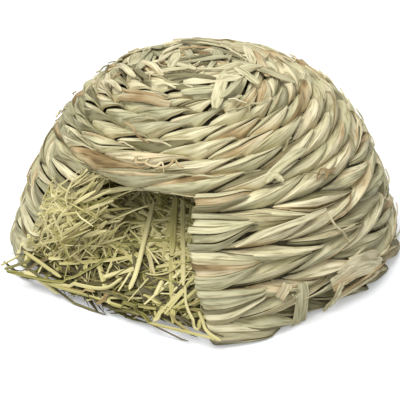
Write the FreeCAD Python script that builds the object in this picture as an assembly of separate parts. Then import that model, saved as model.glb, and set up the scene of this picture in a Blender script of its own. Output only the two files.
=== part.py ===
"""A woven rush igloo for small rodents, filled with hay.

Sizes are in millimetres, +Z is up and the doorway faces -Y. The dome is one woven wall. A pair
of rush strands is twined around upright stakes, course by course, from a thick border on the
floor to a small crown at the top. The courses beside the doorway run to and fro, and each pair
of them shares one fold around the jamb. The courses above it run right round.
"""
import FreeCAD
import Part

import math
import os
import random
from bisect import bisect_left

# Sizes of the dome
outer_diameter = 210.0
dome_height = 100.0
shoulder_exponent = 2.34
side_sag = 12.5
sag_azimuth = -92.0
sag_spread = 58.0
right_sag = 4.0
right_sag_azimuth = 112.0
right_sag_spread = 30.0

# How the foot of the wall is out of round: pressed in at the right front, full at the right
foot_height = 60.0
foot_dent = 9.0
dent_azimuth = 63.0
dent_spread = 17.0
foot_bulge = 2.5
bulge_azimuth = 108.0
bulge_spread = 25.0

# Sizes of the weave
wall_thickness = 10.5
border_height = 12.0
course_height = 9.3
groove_depth = 3.2
inner_groove_depth = 1.6
strand_groove_share = 0.62
strand_variation = 0.7
strand_fullness = 0.6
strand_lean = 1.6
crown_radius = 6.0
crown_dip = 1.6
bare_stake_radius = 34.0

# Counts of the weave
stakes = 18
outer_steps = 4
inner_steps = 2

# Sizes of the doorway
door_height = 72.0
right_foot = 54.5
right_top = 36.5
left_foot = 73.0
left_top = 28.0
fold_bulge = 2.2
fold_reach = 0.8
first_right_pair = 1
first_left_pair = 0

# Sizes of the leaf that ties the border
tie_azimuth = 54.6
tie_width = 8.0
tie_height = 24.0
tie_thickness = 0.8
tie_foot = 0.8
tie_gap = 0.1

# Sizes of the hay
hay_gap = 0.3
hay_spill = 3.0
hay_lip = 8.5
hay_slope = 28.0
hay_height = 38.0
hay_wall_height = 27.0
hay_heap = 8.0
heap_x = -42.0
heap_y = -32.0
heap_spread = 30.0
hay_roughness = 2.0
hay_slope_power = 1.5
hay_middle = 21.0
hay_rings = 10
hay_front_steps = 8

weave_seed = 4
hay_seed = 11

meridian_samples = 400
nearly_zero = 1e-6
largest_jamb_sine = 0.95


def make_meridian():
    """Points (arc length, radius, height) of the outer dome from the floor to the top."""
    points = []
    length = 0.0
    for i in range(meridian_samples + 1):
        turn = 0.5 * math.pi * i / meridian_samples
        radius = 0.5 * outer_diameter * max(0.0, math.cos(turn)) ** (2.0 / shoulder_exponent)
        height = dome_height * math.sin(turn) ** (2.0 / shoulder_exponent)
        if points:
            length += math.hypot(radius - points[-1][1], height - points[-1][2])
        points.append((length, radius, height))
    return points


meridian = make_meridian()
meridian_length = meridian[-1][0]


def meridian_at(length):
    """Radius, height and outward normal (radial, upward) at an arc length from the floor."""
    index = bisect_left(meridian, (length,))
    index = min(max(index, 1), meridian_samples)
    below = meridian[index - 1]
    above = meridian[index]
    share = (length - below[0]) / (above[0] - below[0])
    radius = below[1] + share * (above[1] - below[1])
    height = below[2] + share * (above[2] - below[2])
    run = above[0] - below[0]
    if length <= 0.0:
        return radius, 0.0, 1.0, 0.0
    return radius, height, (above[2] - below[2]) / run, (below[1] - above[1]) / run


def length_at_height(height):
    """Arc length from the floor at which the outer dome reaches a height."""
    for point in meridian:
        if point[2] >= height:
            return point[0]
    return meridian_length


def bell(azimuth, middle, spread):
    """1 at a middle azimuth in degrees, falling off smoothly on both sides."""
    offset = (math.degrees(azimuth) - middle + 180.0) % 360.0 - 180.0
    return math.exp(-(offset / spread) ** 2)


def sag(azimuth, height):
    """How far the slack sides of the dome have sunk in, in millimetres."""
    lift = math.sin(math.pi * min(1.0, height / dome_height))
    left = side_sag * bell(azimuth, sag_azimuth, sag_spread) * lift
    right = right_sag * bell(azimuth, right_sag_azimuth, right_sag_spread) * lift ** 2
    return left + right


def splay(azimuth, height):
    """How far the foot of the wall stands out, in millimetres."""
    bulge = foot_bulge * bell(azimuth, bulge_azimuth, bulge_spread)
    dent = foot_dent * bell(azimuth, dent_azimuth, dent_spread)
    return (bulge - dent) * max(0.0, 1.0 - height / foot_height) ** 2


def wall_point(azimuth, length, depth):
    """A point of the wall, a depth inside its outermost surface; azimuth 0 is the doorway."""
    radius, height, out, up = meridian_at(length)
    radius = radius - sag(azimuth, height) + splay(azimuth, height) - depth * out
    return FreeCAD.Vector(radius * math.sin(azimuth), -radius * math.cos(azimuth), height - depth * up)


# Courses: the border, then even courses up to the crown
woven_length = meridian_length - border_height - crown_radius
upper_courses = max(4, round(woven_length / course_height))
course_pitch = woven_length / upper_courses
course_lines = [0.0] + [border_height + k * course_pitch for k in range(upper_courses + 1)]
courses = upper_courses + 1

# The lintel is the course line nearest to the doorway's height
lintel_length = length_at_height(door_height)
door_courses = min(range(2, courses - 1), key=lambda k: abs(course_lines[k] - lintel_length))
lintel_line = course_lines[door_courses]


def jamb_angle(length, foot, top):
    """Azimuth of a jamb at an arc length up to the lintel, from how far it stands from the middle."""
    share = length / lintel_line
    reach = foot + share * (top - foot)
    return math.asin(min(largest_jamb_sine, reach / meridian_at(length)[0]))


# The doorway takes the room of a few stakes, and the others stand around it
lintel_angle = jamb_angle(lintel_line, right_foot, right_top) + jamb_angle(lintel_line, left_foot, left_top)
door_stakes = max(1, round(0.5 * stakes * lintel_angle / math.pi))
side_stakes = stakes - door_stakes


def door_edge(length, foot, top):
    """Azimuth of the doorway's edge: above the lintel it eases to an even share of the stakes."""
    if length <= lintel_line:
        return jamb_angle(length, foot, top)
    rise = (length - lintel_line) / (meridian_length - lintel_line)
    return (1.0 - rise) * jamb_angle(lintel_line, foot, top) + rise * math.pi * door_stakes / stakes


def stake_azimuth(place, length):
    """Azimuth at a place counted in stakes, from the right jamb round the back to the left."""
    right = door_edge(length, right_foot, right_top)
    left = door_edge(length, left_foot, left_top)
    if place <= side_stakes:
        return right + (2.0 * math.pi - right - left) * place / side_stakes
    return -left + (right + left) * (place - side_stakes) / door_stakes


def slant(course):
    """Lean of a course's strands: courses beside the doorway lean to and fro."""
    if course < door_courses and course % 2 == 0:
        return -1.0
    return 1.0


def strand_stride(course):
    """Stakes that one strand spans: near the crown every second stake has ended."""
    radius = meridian_at(course_lines[course])[0]
    return 2 if radius < bare_stake_radius else 1


def fold_share(course, line, place):
    """How much a point beside a jamb belongs to a fold, which covers a pair of courses."""
    reach = min(place, side_stakes - place)
    if course >= door_courses or reach > fold_reach:
        return 0.0
    first = first_right_pair if place < side_stakes - place else first_left_pair
    joins_last = course > first and (course - first) % 2 == 1
    return 1.0 - reach / fold_reach if line > 0.0 or joins_last else 0.0


chance = random.Random(weave_seed)
strand_heights = [[chance.uniform(0.0, strand_variation) for _ in range(stakes)] for _ in range(courses)]


def strand_depth(course, line, place, depth):
    """Depth of the twined surface: least on a strand's back, towards its far end, all in the grooves."""
    across = math.sin(math.pi * line) ** strand_fullness if 0.0 < line < 1.0 else 0.0
    strands = stakes // strand_stride(course)
    turn = place / strand_stride(course) - slant(course) * line
    index = math.floor(turn + nearly_zero)
    share = turn - index
    along = math.sin(math.pi * share ** strand_lean) ** strand_fullness if share > nearly_zero else 0.0
    crest = across * (1.0 - strand_groove_share + strand_groove_share * along)
    fold = fold_share(course, line, place)
    crest = crest + fold * (1.0 - crest)
    slack = strand_heights[course][index % strands] * across * (1.0 - fold)
    return depth * (1.0 - crest) + slack


def places(first, last, steps):
    """Evenly spaced places between two stakes."""
    count = round((last - first) * steps)
    return [first + i / steps for i in range(count + 1)]


def skin_row(course, line, steps, face_depth, groove):
    """One row of points along a course, as (place, point) pairs."""
    length = course_lines[course] + line * (course_lines[course + 1] - course_lines[course])
    last = side_stakes if course < door_courses else stakes
    stride = strand_stride(course) if line > 0.0 else strand_stride(max(0, course - 1))
    row = []
    for place in places(0, last, steps / stride):
        depth = strand_depth(course, line, place, groove)
        if face_depth:
            depth = face_depth - depth
        azimuth = stake_azimuth(place % stakes, length)
        row.append((place, wall_point(azimuth, length, depth)))
    return row


def facet(*points):
    """A flat face through its corner points."""
    return Part.Face(Part.makePolygon(list(points) + [points[0]]))


def strip(lower, upper, lean=1.0):
    """Flat facets between two rows of (place, point) pairs, whatever their counts."""
    faces = []
    i = 0
    j = 0
    while i < len(lower) - 1 or j < len(upper) - 1:
        if j == len(upper) - 1:
            take_lower = True
        elif i == len(lower) - 1:
            take_lower = False
        else:
            ahead = lower[i + 1][0] - upper[j + 1][0]
            take_lower = ahead < -nearly_zero or (abs(ahead) <= nearly_zero and lean > 0.0)
        if take_lower:
            faces.append(facet(lower[i][1], lower[i + 1][1], upper[j][1]))
            i += 1
        else:
            faces.append(facet(lower[i][1], upper[j + 1][1], upper[j][1]))
            j += 1
    return faces


def part_of(row, first, last):
    """The pairs of a row that lie between two places."""
    return [pair for pair in row if first - nearly_zero <= pair[0] <= last + nearly_zero]


def skin_rows(steps, face_depth, groove):
    """All rows of one side of the wall, course by course, each course from its lower line."""
    return [
        [skin_row(course, i / steps, steps, face_depth, groove) for i in range(steps)]
        for course in range(courses)
    ]


def skin(rows, top_row):
    """Facets of one side of the wall and the points along its jambs."""
    faces = []
    for course in range(courses):
        lines = rows[course] + [rows[course + 1][0] if course + 1 < courses else top_row]
        for lower, upper in zip(lines, lines[1:]):
            if course < door_courses:
                upper = part_of(upper, 0, side_stakes)
            faces += strip(lower, upper, slant(course))
    return faces


def crown(row, depth):
    """Facets that close the top around a middle point, on one side of the wall."""
    top = FreeCAD.Vector(0, 0, dome_height - depth)
    return [facet(a[1], b[1], top) for a, b in zip(row, row[1:])]


def edge_rows(outer_rows, inner_rows):
    """Rows along the doorway's edge, outer and inner: up one jamb, over the lintel, down the other."""
    def jamb(rows, end):
        points = [line[end][1] for course in rows[:door_courses] for line in course]
        steps = len(rows[0])
        return [(i / steps, point) for i, point in enumerate(points)]

    def lintel(rows):
        return part_of(rows[door_courses][0], side_stakes, stakes)

    edges = []
    for rows in (outer_rows, inner_rows):
        right = jamb(rows, 0) + [(float(door_courses), rows[door_courses][0][0][1])]
        left = jamb(rows, -1) + [(float(door_courses), lintel(rows)[0][1])]
        over = [(door_courses + stakes - place, point) for place, point in reversed(lintel(rows))]
        down = [(2 * door_courses + door_stakes - place, point) for place, point in reversed(left)]
        edges.append(right + over[1:] + down[1:])
    return edges


def fold_swell(course_place, first_pair):
    """Roundness of the jamb's folds, 0 between two folds and 1 in the middle of one."""
    if course_place < first_pair:
        return math.sin(math.pi * course_place) ** 0.5 if course_place > 0.0 else 0.0
    return abs(math.sin(0.5 * math.pi * (course_place - first_pair))) ** 0.5


def doorway_edge(outer_edge, inner_edge):
    """Facets of the rounded doorway edge, and its middle row."""
    inner_at = {round(place, 3): point for place, point in inner_edge}
    middle = []
    for place, point in outer_edge:
        if round(place, 3) not in inner_at:
            continue
        centre = (point + inner_at[round(place, 3)]) * 0.5
        if place < door_courses:
            aim = FreeCAD.Vector(-fold_swell(place, first_right_pair), 0, 0)
        elif place > door_courses + door_stakes:
            up_left_jamb = 2 * door_courses + door_stakes - place
            aim = FreeCAD.Vector(fold_swell(up_left_jamb, first_left_pair), 0, 0)
        else:
            aim = FreeCAD.Vector(0, 0, -1)
        middle.append((place, centre + aim * fold_bulge))
    return strip(outer_edge, middle) + strip(middle, inner_edge), middle


def close_solid(faces):
    """One closed solid from flat faces that share their edges."""
    shell = Part.makeShell(faces)
    shell.sewShape()
    solid = Part.makeSolid(shell)
    if solid.Volume < 0:
        solid.reverse()
    return solid


def make_woven_dome():
    """The woven wall: an outer and an inner skin of twined strands, the doorway edge and the foot."""
    outer_rows = skin_rows(outer_steps, 0.0, groove_depth)
    inner_rows = skin_rows(inner_steps, wall_thickness, inner_groove_depth)
    top_length = course_lines[-1]
    stride = strand_stride(courses - 1)
    outer_top = []
    inner_top = []
    for place in places(0, stakes, outer_steps / stride / 2):
        azimuth = stake_azimuth(place % stakes, top_length)
        outer_top.append((place, wall_point(azimuth, top_length, groove_depth)))
    for place in places(0, stakes, inner_steps / stride):
        azimuth = stake_azimuth(place % stakes, top_length)
        inner_top.append((place, wall_point(azimuth, top_length, wall_thickness)))
    outer_edge, inner_edge = edge_rows(outer_rows, inner_rows)
    edge_faces, middle = doorway_edge(outer_edge, inner_edge)
    foot = [point for _, point in outer_rows[0][0]]
    foot += [middle[-1][1]]
    foot += [point for _, point in reversed(inner_rows[0][0])]
    foot += [middle[0][1]]
    faces = skin(outer_rows, outer_top) + crown(outer_top, crown_dip)
    faces += skin(inner_rows, inner_top) + crown(inner_top, wall_thickness)
    faces += edge_faces + [facet(*foot)]
    return close_solid(faces)


def tie_row(length, depth):
    """One row of points across the tie leaf."""
    half = tie_width / outer_diameter
    middle = math.radians(tie_azimuth)
    return [(i, wall_point(middle + half * (i - 1), length, depth)) for i in range(3)]


def make_border_tie():
    """A flat leaf that is laid over the border, from just above the floor to the second course."""
    lengths = [tie_foot, 0.5 * border_height, border_height, tie_foot + tie_height]
    back = [tie_row(length, -tie_gap) for length in lengths]
    front = [tie_row(length, -tie_gap - tie_thickness) for length in lengths]
    faces = []
    for rows in (back, front):
        for lower, upper in zip(rows, rows[1:]):
            faces += strip(lower, upper)
    for end in (0, -1):
        faces += strip(back[end], front[end])
        side_back = [(i, row[end][1]) for i, row in enumerate(back)]
        side_front = [(i, row[end][1]) for i, row in enumerate(front)]
        faces += strip(side_back, side_front)
    return close_solid(faces)


def hay_front():
    """How far in front of the dome's axis the hay ends."""
    right = door_edge(0.0, right_foot, right_top)
    return (0.5 * outer_diameter + splay(right, 0.0)) * math.cos(right) + hay_spill


def hay_top(x, y):
    """Height of the hay: a slope in the doorway, a rounded bed behind it and a heap at the left."""
    inside = max(0.0, y + hay_front())
    climb = 1.0 - math.exp(-(inside / hay_slope) ** hay_slope_power)
    radius = math.hypot(x, y) / (0.5 * outer_diameter - wall_thickness)
    bed = hay_height - (hay_height - hay_wall_height) * min(1.0, radius) ** 2
    heap = hay_heap * math.exp(-((x - heap_x) ** 2 + (y - heap_y) ** 2) / heap_spread ** 2)
    return hay_lip + (bed + heap - hay_lip) * climb


def beside_wall(place, height):
    """A point of the hay against the wall; beside a jamb it keeps clear of the folds."""
    length = length_at_height(height) if height > 0.0 else 0.0
    point = wall_point(stake_azimuth(place, length), length, wall_thickness + hay_gap)
    if place in (0, side_stakes):
        point.x -= math.copysign(hay_gap, point.x)
    return point


def in_doorway(side, share, height):
    """A point of the hay in the doorway: side -1 to 1 across it, share 0 to 1 from inside out."""
    jamb = 0 if side > 0.0 else side_stakes
    corner = beside_wall(jamb, height)
    before_jamb = wall_point(stake_azimuth(jamb, 0.0), 0.0, -hay_gap).y
    bow = abs(side) ** 3
    front = bow * before_jamb - (1.0 - bow) * hay_front()
    return FreeCAD.Vector(abs(corner.x) * side, corner.y + share * (front - corner.y), height)


def hay_columns():
    """Upright columns around the hay, each with its foot, a middle point and its top."""
    columns = []
    for place in places(0, side_stakes, inner_steps):
        at_wall = beside_wall(place, hay_wall_height)
        top = hay_top(at_wall.x, at_wall.y)
        columns.append([beside_wall(place, 0.5 * top * i) for i in range(3)])
    spots = [(-1.0, 0.5)]
    spots += [(-1.0 + 2.0 * i / hay_front_steps, 1.0) for i in range(hay_front_steps + 1)]
    spots += [(1.0, 0.5)]
    for side, share in spots:
        foot = in_doorway(side, share, 0.0)
        top = hay_top(foot.x, foot.y)
        columns.append([in_doorway(side, share, 0.5 * top * i) for i in range(3)])
    return columns


def make_hay_bed():
    """The bed of hay: its foot, its side along the wall and its rough top."""
    rough = random.Random(hay_seed)
    columns = hay_columns()
    rings = [[column[i] for column in columns] for i in range(3)]
    middle = FreeCAD.Vector(0, -hay_middle, 0)
    for k in range(1, hay_rings):
        share = 1.0 - k / hay_rings
        ring = []
        for edge in rings[2]:
            x = middle.x + share * (edge.x - middle.x)
            y = middle.y + share * (edge.y - middle.y)
            ring.append(FreeCAD.Vector(x, y, hay_top(x, y) + rough.uniform(-hay_roughness, hay_roughness)))
        rings.append(ring)
    rows = [list(enumerate(ring + ring[:1])) for ring in rings]
    faces = []
    for lower, upper in zip(rows, rows[1:]):
        faces += strip(lower, upper)
    summit = FreeCAD.Vector(middle.x, middle.y, hay_top(middle.x, middle.y))
    faces += [facet(a[1], b[1], summit) for a, b in zip(rows[-1], rows[-1][1:])]
    faces.append(facet(*rings[0]))
    return close_solid(faces)


def main():
    """Build every piece, put the origin in the middle of the footprint and write the files."""
    pieces = {
        "woven_dome": make_woven_dome(),
        "border_tie": make_border_tie(),
        "hay_bed": make_hay_bed(),
    }
    box = Part.makeCompound(list(pieces.values())).BoundBox
    to_origin = FreeCAD.Vector(-box.Center.x, -box.Center.y, -box.ZMin)
    print("courses", courses, "beside the doorway", door_courses, "moved by", tuple(to_origin))
    os.makedirs("parts", exist_ok=True)
    for name, shape in pieces.items():
        shape.translate(to_origin)
        shape.exportStep(os.path.join("parts", name + ".step"))
        print(name, "valid", shape.isValid(), "faces", len(shape.Faces), "volume", round(shape.Volume))


main()
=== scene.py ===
"""Looks of a woven rush igloo with its bed of hay: metres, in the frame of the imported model."""
import math
import random

import bpy
import numpy as np
from bpy.props import FloatProperty, FloatVectorProperty, IntProperty, PointerProperty
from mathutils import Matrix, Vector


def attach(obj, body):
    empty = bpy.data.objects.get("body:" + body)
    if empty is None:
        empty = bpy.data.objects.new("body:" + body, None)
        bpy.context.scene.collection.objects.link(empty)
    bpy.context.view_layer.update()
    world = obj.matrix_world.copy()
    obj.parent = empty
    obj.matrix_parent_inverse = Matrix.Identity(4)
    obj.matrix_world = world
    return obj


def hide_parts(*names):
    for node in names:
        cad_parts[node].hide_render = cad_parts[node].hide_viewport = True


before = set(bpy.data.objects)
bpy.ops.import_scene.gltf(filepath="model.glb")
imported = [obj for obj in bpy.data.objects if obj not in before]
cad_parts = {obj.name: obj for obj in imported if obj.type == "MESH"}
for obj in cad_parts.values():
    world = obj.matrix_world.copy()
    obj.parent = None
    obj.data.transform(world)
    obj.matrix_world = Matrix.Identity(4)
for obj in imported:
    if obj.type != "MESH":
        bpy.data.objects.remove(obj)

bl_info = {
    "name": "Woven Rush Igloo",
    "version": (1, 0, 0),
    "blender": (4, 5, 0),
    "location": "View3D > Sidebar > Igloo",
    "description": "Twined rush dome with a doorway, its folds and ties, and a bed of loose hay",
    "category": "Object",
}

# The dome's upright axis in the model's frame
AXIS = Vector((-0.00115, -0.00577, 0.0))
# The material and the slot name of the rush pieces and of the hay pieces
RUSH = ("rush_leaf_dried", "dried_rush")
HAY = ("hay_stem_dried", "meadow_hay")
# Edges of a leaf sharper than this stay crisp
LEAF_EDGE = math.radians(38)


def linear(hex_colour):
    """Linear RGB of an sRGB hex colour."""
    values = [int(hex_colour[i:i + 2], 16) / 255.0 for i in (1, 3, 5)]
    return tuple(v / 12.92 if v <= 0.04045 else ((v + 0.055) / 1.055) ** 2.4 for v in values)


def length_property(name, description, default):
    """A size that the user can change."""
    return FloatProperty(name=name, description=description, default=default, unit="LENGTH", min=0.0)


def angle_property(name, description, degrees):
    """An angle that the user can change."""
    return FloatProperty(name=name, description=description, default=math.radians(degrees), subtype="ANGLE")


def colour_property(name, description, hex_colour):
    """A colour that the user can change."""
    return FloatVectorProperty(
        name=name, description=description, default=linear(hex_colour), subtype="COLOR", min=0.0, max=1.0
    )


class IglooShape(bpy.types.PropertyGroup):
    """Sizes of the dome and its doorway."""

    outer_radius: length_property("Outer radius", "Radius of the dome at the floor", 0.105)
    height: length_property("Height", "Height of the dome", 0.100)
    shoulder: FloatProperty(name="Shoulder", description="2 is an ellipse, more is boxier", default=2.34)
    side_sag: length_property("Side sag", "How far the slack side has sunk in", 0.0125)
    sag_azimuth: angle_property("Sag azimuth", "Where the side sags", -92)
    sag_spread: angle_property("Sag spread", "How wide the sag is", 58)
    right_sag: length_property("Right sag", "How far the right side has sunk in", 0.004)
    right_sag_azimuth: angle_property("Right sag azimuth", "Where the right side sags", 112)
    right_sag_spread: angle_property("Right sag spread", "How wide the right sag is", 30)
    wall: length_property("Wall", "Thickness of the woven wall", 0.0105)
    foot_height: length_property("Foot height", "How high the foot is out of round", 0.060)
    foot_dent: length_property("Foot dent", "How far the foot is pressed in at the right front", 0.009)
    dent_azimuth: angle_property("Dent azimuth", "Where the foot is pressed in", 63)
    dent_spread: angle_property("Dent spread", "How wide the dent is", 17)
    foot_bulge: length_property("Foot bulge", "How far the foot stands out at the right", 0.0025)
    bulge_azimuth: angle_property("Bulge azimuth", "Where the foot stands out", 108)
    bulge_spread: angle_property("Bulge spread", "How wide the bulge is", 25)
    right_foot: length_property("Right foot", "Right jamb from the middle at the floor", 0.0545)
    right_top: length_property("Right top", "Right jamb from the middle at the lintel", 0.0365)
    left_foot: length_property("Left foot", "Left jamb from the middle at the floor", 0.073)
    left_top: length_property("Left top", "Left jamb from the middle at the lintel", 0.028)
    door_height: length_property("Doorway height", "Height of the lintel", 0.072)


class IglooWeave(bpy.types.PropertyGroup):
    """Sizes of the weave."""

    stakes: IntProperty(name="Stakes", description="Upright stakes around the dome", default=18)
    border: length_property("Border", "Height of the border course", 0.012)
    course: length_property("Course", "Height of a course", 0.0093)
    crown: length_property("Crown", "Radius of the crown", 0.006)
    groove: length_property("Groove", "Depth of the groove between two courses", 0.0034)
    roundness: length_property("Roundness", "How far a strand's edges lie below its back", 0.0019)
    lean: length_property("Lean", "How far a strand's far end lies over its neighbours", 0.0021)
    dive: length_property("Dive", "How deep a strand's ends go into the wall", 0.0034)
    fibres: IntProperty(name="Fibres", description="Thin torn fibres over the whole dome", default=120)
    tangle: IntProperty(name="Tangle", description="Loose leaves that lie over the roof", default=50)
    frayed: FloatProperty(name="Frayed", description="Share of strands with a torn strip", default=0.4)
    leaf_thickness: length_property("Leaf thickness", "Thickness of a rush leaf", 0.0007)


class IglooHay(bpy.types.PropertyGroup):
    """Sizes of the bed of hay."""

    spill: length_property("Spill", "How far the hay comes out of the doorway", 0.003)
    lip: length_property("Lip", "Height of the hay at its front", 0.006)
    slope: length_property("Slope", "How far the hay takes to rise", 0.028)
    height: length_property("Bed height", "Height of the hay in the middle", 0.0355)
    wall_height: length_property("Wall height", "Height of the hay at the wall", 0.0245)
    heap: length_property("Heap", "Height of the heap at the left", 0.008)
    heap_x: FloatProperty(name="Heap X", description="Heap from the axis", default=-0.042, unit="LENGTH")
    heap_y: FloatProperty(name="Heap Y", description="Heap from the axis", default=-0.032, unit="LENGTH")
    heap_spread: length_property("Heap spread", "Width of the heap", 0.030)
    jamb_stems: IntProperty(name="Jamb stems", description="Stems that lean on the left jamb", default=420)
    stems: IntProperty(name="Stems", description="Loose stems and blades", default=2300)


class IglooColours(bpy.types.PropertyGroup):
    """Colours of the dried plants."""

    # Mostly painted shade: the border near the floor and the strands and folds beside the left jamb are given
    # this dull green for the shade there; a few dark leaves elsewhere reach it at random
    dull_green: colour_property("Dull green", "Rush near the floor, a little soiled", "#7f7958")
    grey_green: colour_property("Grey green", "Rush that dried in the shade", "#a8a585")
    straw_green: colour_property("Straw green", "Most of the rush", "#c2bc96")
    cream: colour_property("Cream", "Bleached rush", "#dfd6b3")
    tan: colour_property("Tan", "Rush that dried brown", "#bda67c")
    brown: colour_property("Brown", "Stains on the rush", "#87704a")
    # Painted shade: the colour of rush and hay where shade falls, deep in the wall and between stems
    shade: colour_property("Shade", "Rush deep in the wall", "#4a4126")
    hay_green: colour_property("Hay green", "Hay that dried quickly", "#7d7a3e")
    hay_straw: colour_property("Hay straw", "Ripe stems", "#b0a768")
    hay_pale: colour_property("Hay pale", "Bleached stems", "#d3c994")


class IglooStage(bpy.types.PropertyGroup):
    """Camera and light."""

    azimuth: angle_property("Azimuth", "Camera angle from the doorway", 27.1)
    elevation: angle_property("Elevation", "Camera pitch", 28.7)
    distance: length_property("Distance", "From the camera to the aim", 0.55)
    lens: FloatProperty(name="Lens", description="Focal length in mm on a 36 mm sensor", default=92.0)
    shift_x: FloatProperty(name="Shift X", description="Sideways lens shift", default=-0.0066)
    shift_y: FloatProperty(name="Shift Y", description="Upward lens shift", default=-0.1083)


def bell(azimuth, middle, spread):
    """1 at a middle azimuth, falling off smoothly on both sides."""
    offset = (azimuth - middle + math.pi) % (2.0 * math.pi) - math.pi
    return np.exp(-((offset / spread) ** 2))


class Dome:
    """The outer surface of the wall: a meridian turned about an upright axis and sunk in on one side."""

    def __init__(self, shape, weave):
        self.shape = shape
        turn = np.linspace(0.0, 0.5 * math.pi, 401)
        power = 2.0 / shape.shoulder
        self.radius = shape.outer_radius * np.maximum(0.0, np.cos(turn)) ** power
        self.height = shape.height * np.sin(turn) ** power
        steps = np.hypot(np.diff(self.radius), np.diff(self.height))
        self.length = np.concatenate([[0.0], np.cumsum(steps)])
        self.total = self.length[-1]
        self.slope_out = np.gradient(self.height, self.length)
        self.slope_up = -np.gradient(self.radius, self.length)
        woven = self.total - weave.border - weave.crown
        upper = round(woven / weave.course)
        lines = weave.border + woven / upper * np.arange(upper + 1)
        self.lines = np.concatenate([[0.0], lines])
        self.courses = upper + 1
        lintel = np.interp(shape.door_height, self.height, self.length)
        self.door_courses = int(np.argmin(np.abs(self.lines - lintel)))
        self.lintel = self.lines[self.door_courses]
        self.stakes = weave.stakes
        opening = sum(float(self.jamb(self.lintel, side)) for side in (1.0, -1.0))
        self.door_stakes = max(1, round(0.5 * self.stakes * opening / math.pi))
        self.side_stakes = self.stakes - self.door_stakes

    def jamb(self, length, side):
        """How far round from the middle a jamb stands, up to the lintel; side 1 is the right one."""
        shape = self.shape
        foot = shape.right_foot if side > 0.0 else shape.left_foot
        top = shape.right_top if side > 0.0 else shape.left_top
        below = np.clip(length, 0.0, self.lintel)
        reach = foot + below / self.lintel * (top - foot)
        return np.arcsin(np.minimum(0.95, reach / np.interp(below, self.length, self.radius)))

    def edge(self, length, side):
        """Azimuth of the doorway's edge: above the lintel it eases to an even share of the stakes."""
        rise = np.maximum(0.0, (length - self.lintel) / (self.total - self.lintel))
        even = math.pi * self.door_stakes / self.stakes
        return (1.0 - rise) * self.jamb(length, side) + rise * even

    def azimuth(self, place, length):
        """Azimuth of a place counted in stakes, from the right jamb round the back to the left one."""
        right, left = self.edge(length, 1.0), self.edge(length, -1.0)
        around = right + (2.0 * math.pi - right - left) * place / self.side_stakes
        over = -left + (right + left) * (place - self.side_stakes) / self.door_stakes
        return np.where(place <= self.side_stakes, around, over)

    def hand_shape(self, azimuth, height):
        """How far the wall stands inside the round one: its slack side and its uneven foot."""
        shape = self.shape
        lift = np.clip(height / shape.height, 0.0, 1.0)
        swell = np.sin(math.pi * lift)
        sag = shape.side_sag * bell(azimuth, shape.sag_azimuth, shape.sag_spread) * swell
        right = bell(azimuth, shape.right_sag_azimuth, shape.right_sag_spread)
        sag = sag + shape.right_sag * right * swell ** 2
        dent = shape.foot_dent * bell(azimuth, shape.dent_azimuth, shape.dent_spread)
        bulge = shape.foot_bulge * bell(azimuth, shape.bulge_azimuth, shape.bulge_spread)
        return sag + (dent - bulge) * np.maximum(0.0, 1.0 - height / shape.foot_height) ** 2

    def place(self, azimuth, length, depth):
        """Points of the wall at a depth below its outer face, and the directions outwards there."""
        radius = np.interp(length, self.length, self.radius)
        height = np.interp(length, self.length, self.height)
        slope = [np.interp(length, self.length, values) for values in (self.slope_out, self.slope_up)]
        out, up = slope / np.hypot(*slope)
        reach = radius - self.hand_shape(azimuth, height) - depth * out
        sine, cosine = np.sin(azimuth), np.cos(azimuth)
        point = np.stack([AXIS.x + reach * sine, AXIS.y - reach * cosine, height - depth * up], axis=-1)
        return point, np.stack([out * sine, -out * cosine, up], axis=-1)


def quads(index):
    """Faces between the neighbouring rows and columns of a grid of point numbers."""
    corners = [index[:-1, :-1], index[:-1, 1:], index[1:, 1:], index[1:, :-1]]
    return np.stack(corners, axis=-1).reshape(-1, 4)


def close_rows(index):
    """A grid of point numbers whose last column meets the first one."""
    return np.concatenate([index, index[:, :1]], axis=1)


def new_piece(name, points, faces, material):
    """A mesh object with its material, active and the only one selected.

    The plaited and scattered pieces are mesh code, because each leaf follows its own strand's or
    stem's surface, which no primitive gives.
    """
    mesh = bpy.data.meshes.new(name)
    mesh.from_pydata(points.reshape(-1, 3).tolist(), [], faces)
    mesh.materials.append(bpy.data.materials[material])
    piece = bpy.data.objects.new(name, mesh)
    bpy.context.scene.collection.objects.link(piece)
    bpy.ops.object.select_all(action="DESELECT")
    piece.select_set(True)
    bpy.context.view_layer.objects.active = piece
    return piece


def dress(piece, slot_name, *nodes):
    """A finished piece rides the body and stands for its nodes; its slot name is not used."""
    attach(piece, "root")
    if nodes:
        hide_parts(*nodes)


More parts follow.
